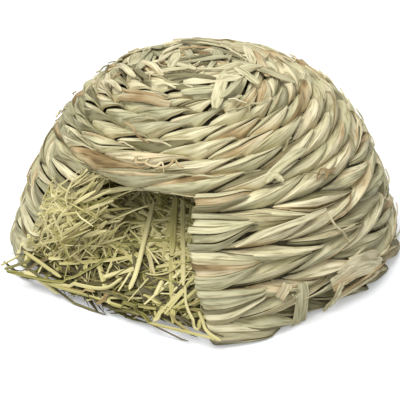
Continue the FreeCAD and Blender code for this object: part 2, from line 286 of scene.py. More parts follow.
class Leaves:
    """Collects long thin leaves, each a closed strip, and makes one mesh of them."""

    def __init__(self, name):
        self.name = name
        self.points = []
        self.quads = []
        self.caps = []
        self.threads = []
        self.tones = []
        self.count = 0

    def add(self, rings, across, tone):
        """One leaf from its rings of points; the last point of a ring lies on the leaf's back."""
        samples, ring = rings.shape[:2]
        self.points.append(rings.reshape(-1, 3))
        middle = samples // 2
        edge = rings[middle, 2] - rings[middle, 1]
        ahead = rings[middle + 1, 1] - rings[middle, 1]
        outward = rings[middle, 1:ring - 2].mean(axis=0) - rings[middle, -1]
        turn = 1 if np.dot(np.cross(edge, ahead), outward) > 0.0 else -1
        index = self.count + np.arange(samples * ring).reshape(samples, ring)
        self.quads.append(quads(close_rows(index))[:, ::turn])
        self.caps += [index[0, ::-turn].tolist(), index[-1, ::turn].tolist()]
        steps = np.linalg.norm(np.diff(rings[:, ring // 2], axis=0), axis=1)
        thread = np.empty((samples, ring, 2))
        thread[..., 0] = (tone[2] * 7.0 + np.concatenate([[0.0], np.cumsum(steps)]))[:, None]
        thread[..., 1] = tone[2] * 3.0 + across
        self.threads.append(thread.reshape(-1, 2))
        shades = np.tile(np.array(tone, float), (samples, ring, 1))
        shades[:, :2, 1] += tone[3]
        shades[:, ring - 2:, 1] += tone[3]
        self.tones.append(shades.reshape(-1, 4))
        self.count += samples * ring

    def add_strip(self, surface, x, sides, lift, across, tone):
        """A leaf on a surface, from the places of its ridges and its back, and how high they lie."""
        top = surface(x, sides[0], lift[0])
        back = surface(x, sides[1], lift[1])
        self.add(np.concatenate([top, back], axis=1), across, tone)

    def finish(self, material, slot_name, *nodes):
        """The dressed piece of all leaves, with their UV map in metres and their tone."""
        faces = np.concatenate(self.quads).tolist() + self.caps
        piece = new_piece(self.name, np.concatenate(self.points), faces, material)
        mesh = piece.data
        corners = np.empty(len(mesh.loops), dtype=np.int32)
        mesh.loops.foreach_get("vertex_index", corners)
        layer = mesh.uv_layers.new(name="leaf")
        layer.data.foreach_set("uv", np.concatenate(self.threads)[corners].ravel().astype(np.float32))
        tone = mesh.color_attributes.new("tone", "FLOAT_COLOR", "POINT")
        tone.data.foreach_set("color", np.concatenate(self.tones).ravel().astype(np.float32))
        bpy.ops.object.shade_smooth_by_angle(angle=LEAF_EDGE)
        dress(piece, slot_name, *nodes)
        return {"FINISHED"}


def begin(context, name, seed):
    """What a woven piece starts from: its sizes, the dome, seeded chance and its leaves."""
    scene = context.scene
    weave = scene.igloo_weave
    return weave, Dome(scene.igloo_shape, weave), random.Random(seed), Leaves(name)


def begin_hay(context, name, seed):
    """What a piece of hay starts from: its sizes, the bed, seeded chance and its stems."""
    scene = context.scene
    bed = HayShape(scene.igloo_shape, scene.igloo_weave, scene.igloo_hay)
    return scene.igloo_hay, bed, random.Random(seed), Leaves(name)


def add_node(tree, kind, settings=None, stops=(), **links):
    """A node with its settings, its ramp's stops and its inputs: values or other nodes' outputs."""
    node = tree.nodes.new(kind)
    for name, value in (settings or {}).items():
        setattr(node, name, value)
    for i, (position, colour) in enumerate(stops):
        elements = node.color_ramp.elements
        element = elements[i] if i < len(elements) else elements.new(position)
        element.position = position
        element.color = (*colour, 1.0)
    for name, value in links.items():
        socket = node.inputs[int(name[1:])] if name[0] == "i" and name[1:].isdigit() else node.inputs[name]
        if isinstance(value, bpy.types.NodeSocket):
            tree.links.new(value, socket)
        else:
            socket.default_value = value
    return node


def new_material(name):
    """An empty node material and its tree."""
    material = bpy.data.materials.new(name)
    material.use_nodes = True
    material.node_tree.nodes.clear()
    return material, material.node_tree



def add_marks(tree, length, width, detail):
    """Noise drawn out along each leaf on its own map, its marks as long and wide as given in metres."""
    leaf_map = add_node(tree, "ShaderNodeUVMap", {"uv_map": "leaf"})
    scale = (1.0 / length, 1.0 / width, 1.0)
    place = add_node(tree, "ShaderNodeMapping", i0=leaf_map.outputs["UV"], i3=scale)
    flat = {"noise_dimensions": "2D"}
    noise = add_node(tree, "ShaderNodeTexNoise", flat, Vector=place.outputs[0], Scale=1.0, Detail=detail)
    return noise.outputs[0]


def add_tones(tree, marks, stops):
    """Each leaf's place on the ramp, shifted to and fro by the marks, and its share of brown."""
    tone = add_node(tree, "ShaderNodeAttribute", {"attribute_name": "tone"})
    parts = add_node(tree, "ShaderNodeSeparateColor", i0=tone.outputs["Color"])
    shift = add_node(tree, "ShaderNodeMath", {"operation": "MULTIPLY_ADD"}, i0=marks, i1=0.9, i2=-0.45)
    place = add_node(tree, "ShaderNodeMath", {"operation": "ADD"}, i0=parts.outputs[0], i1=shift.outputs[0])
    ramp = add_node(tree, "ShaderNodeValToRGB", stops=stops, i0=place.outputs[0])
    return ramp.outputs[0], parts.outputs[1]


def add_surface(tree, base, brown_share, brown, marks, strength, relief, roughness):
    """Brown stains over the base colour, raised marks, and the shader."""
    colours = {"data_type": "RGBA"}
    stained = add_node(tree, "ShaderNodeMix", colours, i0=brown_share, i6=base, i7=(*brown, 1.0))
    bump = add_node(tree, "ShaderNodeBump", Height=marks, Strength=strength, Distance=relief)
    shader = add_node(
        tree, "ShaderNodeBsdfPrincipled", i0=stained.outputs[2], Roughness=roughness, Normal=bump.outputs[0]
    )
    shader.inputs["Specular IOR Level"].default_value = LEAF_GLOSS
    add_node(tree, "ShaderNodeOutputMaterial", Surface=shader.outputs[0])


# Lengths and widths in metres of the marks on a leaf. The veins are drawn about twice as coarse as
# the real 0.5 mm, so that they show in the render
VEIN = (0.012, 0.0011)
STAIN = (0.035, 0.0175)
STEM_STREAK = (1.0 / 60.0, 0.0004)
# Blotches in metres, as wide as the ends of leaves and as the stems that lie over each other
LEAF_BLOTCH = 0.0025
STEM_BLOTCH = 1.0 / 300.0
# A dry leaf has a faint wax gloss
LEAF_GLOSS = 0.35


def rush_material(colours):
    """Rush leaf, sun dried and twined damp: matte, with fine veins along it and tan and brown stains."""
    material, tree = new_material("rush_leaf_dried")
    veins = add_marks(tree, *VEIN, 3.0)
    stops = [
        (0.0, colours.dull_green), (0.13, colours.grey_green), (0.35, colours.straw_green),
        (0.7, colours.cream), (0.9, colours.tan), (1.0, colours.brown),
    ]
    base, brown_share = add_tones(tree, add_marks(tree, *STAIN, 2.0), stops)
    vein_stops = [(0.30, (0.38, 0.34, 0.23)), (0.47, (0.88, 0.87, 0.82)), (0.66, (1.08, 1.08, 1.06))]
    vein_shade = add_node(tree, "ShaderNodeValToRGB", stops=vein_stops, i0=veins).outputs[0]
    multiply = {"data_type": "RGBA", "blend_type": "MULTIPLY"}
    veined = add_node(tree, "ShaderNodeMix", multiply, i0=0.75, i6=base, i7=vein_shade)
    add_surface(tree, veined.outputs[2], brown_share, colours.brown, veins, 0.7, 0.0005, 0.55)
    return material


def hay_material(colours):
    """Hay stems, dried in the open: satin, streaked along, green where they dried quickly."""
    tree = new_material("hay_stem_dried")[1]
    streaks = add_marks(tree, *STEM_STREAK, 2.0)
    # The darkest stop is painted shade, for the stems deep between the others
    stops = [
        (0.05, colours.shade), (0.3, colours.hay_green), (0.6, colours.hay_straw), (0.95, colours.hay_pale),
    ]
    base, brown_share = add_tones(tree, streaks, stops)
    add_surface(tree, base, brown_share, colours.brown, streaks, 0.3, 0.0002, 0.5)


def painted_shade_material(name, dark, light, blotch):
    """Plant matter in painted shade: matte, dark, blotched between two colours, its blotches' size in metres.
    """
    tree = new_material(name)[1]
    where = add_node(tree, "ShaderNodeTexCoord")
    place = where.outputs["Object"]
    noise = add_node(tree, "ShaderNodeTexNoise", Vector=place, Scale=1.0 / blotch, Detail=4.0, Roughness=0.7)
    stops = [(0.35, dark), (0.7, light)]
    base = add_node(tree, "ShaderNodeValToRGB", stops=stops, i0=noise.outputs[0])
    shader = add_node(tree, "ShaderNodeBsdfPrincipled", i0=base.outputs[0], Roughness=0.85)
    add_node(tree, "ShaderNodeOutputMaterial", Surface=shader.outputs[0])


def leaf_tone(chance, middle=0.38):
    """Tone of one leaf: its place on the ramp, its share of brown, a thread number and its brown edges."""
    place = min(0.72, max(0.0, chance.gauss(middle, 0.22)))
    if chance.random() < 0.14:
        place = chance.uniform(0.72, 0.92)
    edges = chance.uniform(0.15, 0.55) if chance.random() < 0.4 else 0.0
    brown = chance.uniform(0.1, 0.4) if chance.random() < 0.07 else 0.0
    return (place, brown, chance.random(), edges)


def soft_min(a, b, softness=0.16):
    """The smaller of two values, rounded where they cross."""
    return 0.5 * (a + b - np.sqrt((a - b) ** 2 + softness ** 2))


def ease(value):
    """0 to 1 with soft ends."""
    value = np.clip(value, 0.0, 1.0)
    return value * value * (3.0 - 2.0 * value)


def line_at(dome, line, place):
    """Arc length of a course line at a place: hand work wanders a little up and down."""
    line = np.asarray(line)
    index = np.clip(line, 0, dome.courses)
    wander = 0.00045 * np.sin(2.0 * math.pi * place * 2.0 / dome.stakes + 1.7 * index)
    wander = wander + 0.00035 * np.sin(2.0 * math.pi * place * 5.0 / dome.stakes + 2.9 * index)
    return dome.lines[index] + np.where(index > 0, wander, 0.0)


# Places along a strand's swing, in its own pitch, where its rings lie, outside and inside the wall.
# The outer ones are the same to both sides
HALF_PLACES = np.array([0.17, 0.34, 0.5, 0.64, 0.78, 0.9, 1.0])
LOBE_PLACES = np.concatenate([-HALF_PLACES[::-1], [0.0], HALF_PLACES])
INNER_PLACES = np.array([-0.96, -0.8, -0.55, -0.28, 0.0, 0.28, 0.55, 0.8, 0.96])
# Sideways places of a leaf's ridges
RIDGES = np.array([-1.0, -0.86, -0.3, 0.28, 0.84, 1.0])
# What would lie below the floor turns into the wall instead, by this depth for half a course
TURN_UNDER = 0.010
# How deep a strand may go on the inside of the wall, so that it can't come out through it
INNER_LIMIT = 0.006
# Widths in metres that the veins are laid out by, on a strand, on a fold and on a torn strip
LOBE_WIDTH = 0.009
FOLD_WIDTH = 0.018
TORN_WIDTH = 0.0006
# Strands span two stakes where the dome's radius is less than this, and part of one in the border
BARE_RADIUS = 0.034
BORDER_STRIDE = 0.75
# Thickness of a loose leaf, rings of a fibre, and how many leaf ends are drawn together at the crown
RIBBON_THICKNESS = 0.0006
FIBRE_SAMPLES = 13
CROWN_ENDS = 34
# Corners of a stem's section, the last of which is at its back, and their places across it
STEM_RING = np.radians((200.0, 125.0, 55.0, -20.0, -90.0))
STEM_ACROSS = np.array((-1.0, -0.5, 0.5, 1.0, 0.0))
# Rings of a loose stem, and least and most half width of a blade in metres
STEM_SAMPLES = 7
BLADE_RADII = (0.0006, 0.0014)
# Shares of the stems: blades, broad blades, those combed outwards, and those left out behind
BLADE_SHARE = 0.4
BROAD_SHARE = 0.09
COMBED_SHARE = 0.62
LEFT_OUT_BEHIND = 0.7
# Ways that a stem leans on the jamb: up along it, into the dome and away from the jamb
STEM_WAYS = ((0.95, 0.3, 0.1), (0.8, -0.2, 0.4), (0.3, 0.9, 0.2), (-0.7, 0.2, 0.7), (0.5, 0.6, -0.5))
# How far the matted hay stays behind the bed's front, how high its lower edge lies over the floor,
# and how high hay may lie between the jambs and in front of the dome
MOUND_BACK = 0.009
MOUND_FOOT = 0.0005
THROAT_HEIGHT = 0.060
LIP_HEIGHT = 0.012
# How far the loose stems sink where they come out past the bed's front
FRONT_DROP = 0.003
# How deep the shaded core of the wall lies under its outer and its inner face, and how far a stake
# bulges it
CORE_DEPTH = 0.0049
CORE_COVER = 0.0036
STAKE_BUMP = 0.0006
# Nothing is nearer to the floor or to the top of the dome than this, along the wall
FLOOR_GAP = 0.0003
TOP_GAP = 0.0004


def leaf_section(chance):
    """Heights of a leaf's ridges: flat with crisp edges and a faint crease along the middle."""
    middle = [chance.uniform(0.45, 1.2) for _ in range(2)]
    return np.array([0.0, chance.uniform(0.75, 1.25), *middle, chance.uniform(0.75, 1.25), 0.0])


class Lobe:
    """One swing of a strand over a stake: a slanting lens of leaves, its ends tucked into the wall."""

    def __init__(self, dome, weave, chance, course, centre, slant, stride, inner=False):
        self.dome = dome
        self.weave = weave
        self.course = course
        # A strand is never quite over its stake, and each leans, covers and swings in its own way
        self.centre = centre + chance.uniform(-0.09, 0.09)
        self.slant = slant
        self.stride = stride
        self.inner = inner
        self.shear = 0.42 * chance.uniform(0.85, 1.2)
        self.cover = chance.uniform(1.08, 1.24)
        self.sway = chance.uniform(-0.08, 0.08)
        self.height = chance.uniform(0.0, 0.0012)
        self.wraps = course >= dome.door_courses

    def surface(self, x, f, lift):
        """Points of the lobe: x along it in its own pitch, f from its lower to its upper edge.

        v is the place across the course, from -1 at its lower line to 1 at its upper one.
        """
        weave = self.weave
        high = soft_min(self.cover, (x + 0.5) / self.shear)
        low = -soft_min(self.cover, (0.5 - x) / self.shear)
        spread = np.maximum(high - low, 0.42)
        middle = np.clip(0.5 * (high + low), -1.12, 1.12)
        v = self.slant * (middle + (f - 0.5) * spread) + self.sway * (1.0 - x * x)
        drop = weave.groove * np.abs(np.clip(v, -1.3, 1.3)) ** 2.4
        round_off = weave.roundness if self.course or self.inner else 1.5 * weave.roundness
        drop = drop + round_off * np.abs(2.0 * f - 1.0) ** 2.2 * np.minimum(1.0, spread)
        below = np.maximum(0.0, -0.97 - v) if self.course == 0 else 0.0
        v = v + below
        drop = drop - weave.lean * x + (0.0 if self.inner else TURN_UNDER) * below
        drop = drop + weave.dive * (ease((-x - 0.62) / 0.36) + ease((x - 0.84) / 0.16))
        place = self.centre + x * self.stride
        bottom = line_at(self.dome, self.course, place)
        top = line_at(self.dome, self.course + 1, place)
        length = 0.5 * (bottom + top) + 0.5 * v * (top - bottom)
        depth = drop + self.height - lift
        if self.inner:
            depth = self.dome.shape.wall - np.minimum(depth, INNER_LIMIT)
        if self.wraps:
            place = place % self.dome.stakes
        azimuth = self.dome.azimuth(place, np.maximum(length, FLOOR_GAP))
        return self.dome.place(azimuth, np.clip(length, FLOOR_GAP, self.dome.total - TOP_GAP), depth)[0]

    def add_leaves(self, leaves, chance, count, places, middle_tone=0.42):
        """Leaves side by side over the lobe, each with its own ridges, skew and tone."""
        thickness = self.weave.leaf_thickness
        shares = [chance.uniform(0.7, 1.3) for _ in range(count)]
        edge = 0.0
        for share in shares:
            width = share / sum(shares)
            middle = edge + 0.5 * width + chance.uniform(-0.02, 0.02)
            edge += width
            half = 0.5 * width * chance.uniform(0.98, 1.25)
            skew = chance.uniform(-0.14, 0.14)
            tilt = chance.uniform(-1.0, 1.0) * thickness
            raised = chance.uniform(-0.8, 1.3) * thickness
            x = places[:, None] + chance.uniform(-0.04, 0.04)
            back = middle + skew * x
            heights = leaf_section(chance)
            swell = 1.0 + 0.25 * np.sin(3.0 * x + chance.uniform(0.0, 6.28))
            lift = raised + tilt * RIDGES + thickness * heights * swell
            lifts = (lift, np.full_like(x, raised - 0.8 * thickness))
            across = np.append(RIDGES, 0.0) * half * LOBE_WIDTH
            tone = leaf_tone(chance, middle_tone)
            leaves.add_strip(self.surface, x, (back + half * RIDGES, back), lifts, across, tone)
        if not self.inner and chance.random() < self.weave.frayed:
            self.add_frayed(leaves, chance)

    def add_frayed(self, leaves, chance):
        """A strip torn off a leaf, its free end standing away from the wall."""
        first = chance.uniform(-0.6, 0.2)
        x = np.linspace(first, first + chance.uniform(0.5, 0.9), 9)[:, None]
        away = ease((x - x[0] - 0.25) / 0.6) * chance.uniform(0.0004, 0.0028)
        half = chance.uniform(0.03, 0.10) * np.linspace(1.0, 0.3, 9)[:, None]
        f = chance.uniform(0.1, 0.9) + chance.uniform(-0.35, 0.35) * (x - x[0]) + half * RIDGES
        lifts = (0.0011 + away + 0.0003 * leaf_section(chance), 0.0008 + away)
        sides = (f, f.mean(axis=1, keepdims=True))
        across = np.append(RIDGES, 0.0) * TORN_WIDTH
        leaves.add_strip(self.surface, x, sides, lifts, across, leaf_tone(chance, 0.6))


def course_slant(dome, course):
    """Lean of a course's strands: beside the doorway the courses run to and fro."""
    if course < dome.door_courses and course % 2 == 0:
        return -1.0
    return 1.0


def course_stride(dome, course):
    """Stakes that one strand spans: near the crown every second stake has ended."""
    return 2 if np.interp(dome.lines[course], dome.length, dome.radius) < BARE_RADIUS else 1


class IGLOO_OT_upper_weave(bpy.types.Operator):
    """Courses above the doorway, which run right round the dome"""

    bl_idname = "igloo.upper_weave"
    bl_label = "Upper weave"

    def execute(self, context):
        weave, dome, chance, leaves = begin(context, "upper_weave", 21)
        for course in range(dome.door_courses, dome.courses):
            stride = course_stride(dome, course)
            for i in range(dome.stakes // stride):
                lobe = Lobe(dome, weave, chance, course, stride * i, 1.0, stride)
                lobe.add_leaves(leaves, chance, chance.choice((1, 2, 2, 2, 3, 3)), LOBE_PLACES)
        return leaves.finish(*RUSH, "woven_dome")


class IGLOO_OT_lower_weave(bpy.types.Operator):
    """Courses beside the doorway, which run to and fro between the jambs"""

    bl_idname = "igloo.lower_weave"
    bl_label = "Lower weave"

    def execute(self, context):
        weave, dome, chance, leaves = begin(context, "lower_weave", 22)
        for course in range(dome.door_courses):
            stride = 1.0 if course else BORDER_STRIDE
            for i in range(1, round(dome.side_stakes / stride)):
                lobe = Lobe(dome, weave, chance, course, stride * i, course_slant(dome, course), stride)
                # The border and the strands beside the left jamb get a low tone: painted shade, for the shade
                # near the floor and between the hay and the wall
                in_painted_shade = course == 0 or stride * i > dome.side_stakes - 2.5
                count = chance.choice((2, 3, 3))
                lobe.add_leaves(leaves, chance, count, LOBE_PLACES, 0.1 if in_painted_shade else 0.40)
        return leaves.finish(*RUSH)


class IGLOO_OT_inner_weave(bpy.types.Operator):
    """The same strands on the inside of the wall, finished more plainly"""

    bl_idname = "igloo.inner_weave"
    bl_label = "Inner weave"

    def execute(self, context):
        weave, dome, chance, leaves = begin(context, "inner_weave", 23)
        for course in range(dome.courses):
            stride = course_stride(dome, course)
            wraps = course >= dome.door_courses
            slant = -course_slant(dome, course)
            count = dome.stakes // stride if wraps else dome.side_stakes
            for i in range(count):
                lobe = Lobe(dome, weave, chance, course, stride * (i + 0.5), slant, stride, inner=True)
                if not wraps and i in (0, count - 1):
                    lobe.stride = 0.5
                lobe.add_leaves(leaves, chance, 3, INNER_PLACES, 0.5)
        return leaves.finish(*RUSH)


def closed_shell(outer, inner, wraps):
    """Points and faces of a wall: up the outer grid of points, down the inner one, and its ends."""
    rows, columns = outer.shape[:2]
    index = np.arange(2 * rows * columns).reshape(2 * rows, columns)
    grid = np.concatenate([index, index[:1]])
    faces = [quads(close_rows(grid) if wraps else grid)]
    if not wraps:
        up, down = index[:rows], index[:rows - 1:-1]
        for column, turn in ((0, -1), (-1, 1)):
            side = np.stack([up[:, column], down[:, column]], axis=1)
            faces.append(quads(side)[:, ::turn])
    return np.concatenate([outer, inner[::-1]]), np.concatenate(faces).tolist()


class IGLOO_OT_wall_core(bpy.types.Operator):
    """The middle of the wall, dark with painted shade: stakes and strand ends, seen only through the chinks
    """

    bl_idname = "igloo.wall_core"
    bl_label = "Wall core"

    def execute(self, context):
        dome = begin(context, "wall_core", 0)[1]
        seam = dome.lintel + 0.001
        spans = (
            ("wall_core_lower", np.linspace(0.0006, seam, 25), (0.04, dome.side_stakes - 0.04), False),
            ("wall_core_upper", np.linspace(seam, dome.total - 0.003, 27), (0.0, dome.stakes), True),
        )
        for name, lengths, ends, wraps in spans:
            count = 6 * round(ends[1] - ends[0]) + (0 if wraps else 1)
            places = np.linspace(*ends, count, endpoint=not wraps)
            length, place = np.meshgrid(lengths, places, indexing="ij")
            azimuth = dome.azimuth(place, length)
            bump = STAKE_BUMP * np.cos(2.0 * math.pi * (place + 0.5))
            outer = dome.place(azimuth, length, CORE_DEPTH - bump)[0]
            inner = dome.place(azimuth, length, dome.shape.wall - CORE_COVER + bump)[0]
            piece = new_piece(name, *closed_shell(outer, inner, wraps), "shaded_rush")
            bpy.ops.object.shade_smooth_by_angle(angle=math.radians(60))
            dress(piece, "dried_rush")
        return {"FINISHED"}


class Fold:
    """Blades that turn around a jamb from one course back into the next; side 1 is the right jamb."""

    def __init__(self, dome, weave, chance, first, last, side):
        self.dome = dome
        self.weave = weave
        self.first = first
        self.last = last
        self.side = side
        self.reach = chance.uniform(0.85, 1.1)
        self.bend = chance.uniform(0.2, 0.5) if side > 0.0 else chance.uniform(-0.06, 0.06)
        self.push = chance.uniform(0.0, 0.0020)
        self.bulge = 0.0

    def surface(self, t, f, lift):
        """Points of the fold: t from the inner face round the jamb (0 to 1) and along the wall (to 2)."""
        dome = self.dome
        half_wall = 0.5 * dome.shape.wall
        turn = math.pi * (np.clip(t, 0.0, 1.0) - 0.5)
        outside = np.clip(t - 1.0, 0.0, 1.0)
        bottom = dome.lines[self.first]
        top = dome.lines[self.last + 1]
        middle = 0.5 * (bottom + top)
        pitch = np.interp(middle, dome.length, dome.radius) * 2.0 * math.pi / dome.stakes
        run = half_wall + outside * (self.reach * pitch - half_wall)
        round_turn = np.sqrt(np.abs(np.cos(turn)))
        flat_turn = np.sign(np.sin(turn)) * np.sqrt(np.abs(np.sin(turn)))
        along = np.where(t <= 1.0, half_wall - (half_wall + self.bulge + lift) * round_turn, run)
        v = 2.0 * f - 1.0
        if self.last > self.first:
            v_wall = v * (1.0 - 0.72 * ease(outside)) + self.bend * ease(outside)
        else:
            lean = course_slant(dome, self.first) * self.side
            v_wall = v * (1.0 - 0.35 * ease(outside)) + lean * 0.6 * ease(outside)
        length = np.maximum(middle + 0.5 * v_wall * (top - bottom), TOP_GAP)
        drop = 0.0030 * np.abs(v) ** 2.6 + self.weave.dive * ease((outside - 0.72) / 0.28)
        depth = np.where(t <= 1.0, half_wall - (half_wall - drop + lift) * flat_turn, drop - lift)
        place = along / pitch
        if self.side < 0.0:
            place = dome.side_stakes - place
        return dome.place(dome.azimuth(place, length), length, depth)[0]

    def add_blades(self, leaves, chance, count):
        """Blades side by side, their turned edges one above the other."""
        thickness = self.weave.leaf_thickness * 1.15
        # The left jamb's folds get a low tone: painted shade, for the shade between the hay and the wall
        fullness, tone = ((0.86, 1.15), 0.36) if self.side > 0.0 else ((0.7, 0.95), 0.12)
        shares = [chance.uniform(0.75, 1.3) for _ in range(count)]
        edge = 0.0
        t = np.concatenate([np.linspace(0.0, 1.0, 8), np.linspace(1.0, 2.0, 10)[1:]])[:, None]
        for share in shares:
            width = share / sum(shares)
            middle = edge + 0.5 * width
            edge += width
            half = 0.5 * width * chance.uniform(*fullness)
            back = middle + chance.uniform(-0.05, 0.05) * (t - 1.0)
            self.bulge = self.push + chance.uniform(0.0, 0.0022)
            tilt = chance.uniform(-0.8, 0.8) * thickness
            raised = chance.uniform(-0.6, 1.8) * thickness
            lift = raised + tilt * RIDGES + thickness * leaf_section(chance)
            lifts = (lift + 0.0 * t, np.full_like(t, raised - 0.8 * thickness))
            across = np.append(RIDGES, 0.0) * half * FOLD_WIDTH
            sides = (back + half * RIDGES, back)
            leaves.add_strip(self.surface, t, sides, lifts, across, leaf_tone(chance, tone))


class IGLOO_OT_jamb_folds(bpy.types.Operator):
    """Folds of the strands around both jambs of the doorway"""

    bl_idname = "igloo.jamb_folds"
    bl_label = "Jamb folds"

    def execute(self, context):
        weave, dome, chance, leaves = begin(context, "jamb_folds", 24)
        last_course = dome.door_courses - 1
        right = [(0, 0), *((k, k + 1) for k in range(1, last_course, 2)), (last_course, last_course)]
        left = [(k, k + 1) for k in range(0, dome.door_courses, 2)]
        for side, pairs, counts in ((1.0, right, (4, 5, 6)), (-1.0, left, (3, 4))):
            for first, last in pairs:
                fold = Fold(dome, weave, chance, first, last, side)
                count = chance.choice(counts)
                fold.add_blades(leaves, chance, count if last > first else 3)
        return leaves.finish(*RUSH)


def through(values, s):
    """A smooth curve through values, read at places counted from the first one."""
    values = np.asarray(values, float)
    i = np.clip(np.floor(s).astype(int), 0, len(values) - 2)
    t = s - i
    ends = np.concatenate([[2.0 * values[0] - values[1]], values, [2.0 * values[-1] - values[-2]]])
    a, b, c, d = ends[i], ends[i + 1], ends[i + 2], ends[i + 3]
    return b + 0.5 * t * (c - a + t * (2.0 * a - 5.0 * b + 4.0 * c - d + t * (3.0 * (b - c) + d - a)))


def over_dome(dome, stations, samples):
    """Points and outward directions through (azimuth in degrees, length and lift in mm) on the dome."""
    s = np.linspace(0.0, len(stations) - 1.0, samples)
    azimuth, length, lift = (through([station[k] for station in stations], s) for k in range(3))
    length = np.clip(0.001 * length, 0.0006, dome.total - 0.0005)
    point, outward = dome.place(np.radians(azimuth), length, -0.001 * lift)
    return point, outward


def unit(vectors):
    """Vectors of length 1 along the last axis."""
    return vectors / np.maximum(1e-9, np.linalg.norm(vectors, axis=-1, keepdims=True))


def add_ribbon(leaves, chance, path, facing, half, tone, crumple=0.0):
    """A flat leaf along a path, with its half widths and how far its ridges are crumpled."""
    tangent = unit(np.gradient(path, axis=0))
    side = unit(np.cross(facing, tangent))
    up = np.cross(tangent, side)
    heights = np.tile(RIBBON_THICKNESS * leaf_section(chance), (len(path), 1))
    if crumple:
        heights[:, 1:5] += np.array([[chance.uniform(-crumple, crumple) for _ in range(4)] for _ in path])
    places = path[:, None] + side[:, None] * (half[:, None] * RIDGES)[..., None]
    top = places + up[:, None] * heights[..., None]
    back = path - 0.4 * RIBBON_THICKNESS * up
    leaves.add(np.concatenate([top, back[:, None]], axis=1), np.append(RIDGES, 0.0) * half.max(), tone)


# Loose leaves and fibres over the weave: (azimuth in degrees, arc length and lift in mm) along
# each, its half width in mm, its tone, its share of brown and how crumpled it is
LOOSE_LEAVES = (
    (((36, 51.5, 0.6), (43, 55.3, 1.8), (50, 57.1, 2.4), (58, 57.9, 2.3), (66, 58.2, 0.9)),
     1.5, 0.62, 0, 0),
    (((48, 78.5, 0.2), (53, 83, 1.8), (60, 86.3, 2.3), (69, 88, 0.6)), 2.2, 0.3, 0, 0),
    (((48, 78, 1.6), (51.3, 80.6, 2.4), (54, 77, 1.4)), 1.6, 0.35, 0, 0.3),
    (((50.2, 28.6, 0.3), (49.4, 26.6, 0.6), (48.4, 24.4, 0.6), (47.6, 22.4, 0.3)), 2.7, 0.8, 0.1, 0),
    (((50, 26, 1.4), (52, 25.6, 2.8), (53, 23.4, 2.4), (51.6, 22, 2.6), (50.6, 24, 3.4)),
     0.7, 0.45, 0, 0.2),
    (((65.5, 17, 0.8), (69.5, 19, 1.6), (74, 20, 2), (80, 17.5, 1.8), (86, 12, 1)), 4.4, 0.8, 0, 0.15),
    (((67, 23.5, 0.8), (73, 26, 1.4), (80, 24, 1.6), (86, 19, 0.8)), 2.2, 0.72, 0.05, 0.4),
    (((67.5, 5.5, 0.6), (73, 8.6, 1.8), (79.5, 10.2, 2.2), (88, 9.4, 0.8)), 0.8, 0.82, 0, 0.2),
    (((68.5, 9, 0.8), (75, 12.4, 2.4), (81, 13.2, 2.4), (89, 11.5, 1)), 0.7, 0.84, 0, 0.2),
    (((67, 7.5, 0.8), (71.5, 10.5, 2), (76, 14, 3)), 0.5, 0.88, 0, 0),
    (((69.5, 18.5, 1.2), (67.4, 12, 2.6), (66.4, 7.5, 2.4), (64.2, 1.6, 1.2)), 1.9, 0.42, 0, 0.3),
    (((65.4, 57, 1.4), (66.7, 49.5, 2.6), (69.2, 44.6, 2.2), (71.2, 37, 1.4)), 0.5, 0.8, 0.1, 0),
    (((66.6, 73, 1.2), (69.5, 75.6, 2.4), (72, 73.4, 2.6), (75.8, 73, 1.6)), 0.9, 0.85, 0.7, 0.3),
    (((69, 71, 1.4), (71, 73, 2.8), (74, 70.5, 1.6)), 0.6, 0.8, 0.5, 0),
    (((-12.4, 104.8, 1), (-6, 103, 2.6), (-1, 99.6, 2.4), (5.2, 97.2, 1.4)), 0.5, 0.85, 0.2, 0),
    (((1.2, 86.4, 1.6), (2.6, 88.6, 2.4), (3.4, 86.6, 3), (6.2, 87.4, 2.6), (7.4, 88.9, 3),
      (7, 86.8, 3.2), (10.6, 86.4, 2.6), (12.6, 88.4, 2.8), (13.8, 84.2, 2)), 0.6, 0.76, 0, 0),
    (((10.2, 87, 1.8), (13, 86.2, 2.6), (15.4, 88, 2.4), (17, 90.4, 2.9), (18.6, 88.2, 2.6),
      (20.4, 87.4, 1.6)), 0.55, 0.74, 0, 0),
    (((3.6, 88.4, 2), (5, 84.6, 2.6), (8.6, 86.6, 2.4), (11.6, 84, 1.6)), 0.35, 0.82, 0.1, 0),
    (((-78, 131.5, 0.6), (-52, 139.6, 2.6), (-24, 140.6, 1)), 2, 0.6, 0, 0),
    (((-80, 116.4, 0.6), (-62, 124.6, 2.4), (-43, 129.2, 1)), 1.8, 0.55, 0, 0),
    (((-60, 112, 0.6), (-46, 117, 2.2), (-34, 118.5, 0.8)), 1.5, 0.78, 0.1, 0),
    (((-30, 116.2, 0.6), (-12, 121, 2), (6, 122.4, 0.8)), 2.6, 0.8, 0.55, 0.2),
    (((-34, 119.5, 0.8), (-16, 124, 1.8), (2, 125.5, 0.8)), 1.4, 0.84, 0.5, 0),
)


class IGLOO_OT_border_leaf(bpy.types.Operator):
    """The leaf laid over the border, which ties it to the second course"""

    bl_idname = "igloo.border_leaf"
    bl_label = "Border leaf"

    def execute(self, context):
        dome, chance, leaves = begin(context, "border_leaf", 41)[1:]
        for shift, half in ((-0.8, 0.0020), (0.9, 0.0024)):
            stations = (
                (54.5 + 0.9 * shift, 26.0, -0.3), (54.6 + shift, 21.0, 0.8), (54.6 + shift, 14.0, 1.0),
                (54.7 + 1.1 * shift, 7.0, 1.1), (54.9 + 1.25 * shift, 1.2, 0.6),
            )
            path, outward = over_dome(dome, stations, 15)
            tone = (0.42, 0.0, chance.random(), 0.1)
            add_ribbon(leaves, chance, path, outward, half * np.linspace(0.85, 1.25, 15), tone)
        return leaves.finish(*RUSH, "border_tie")


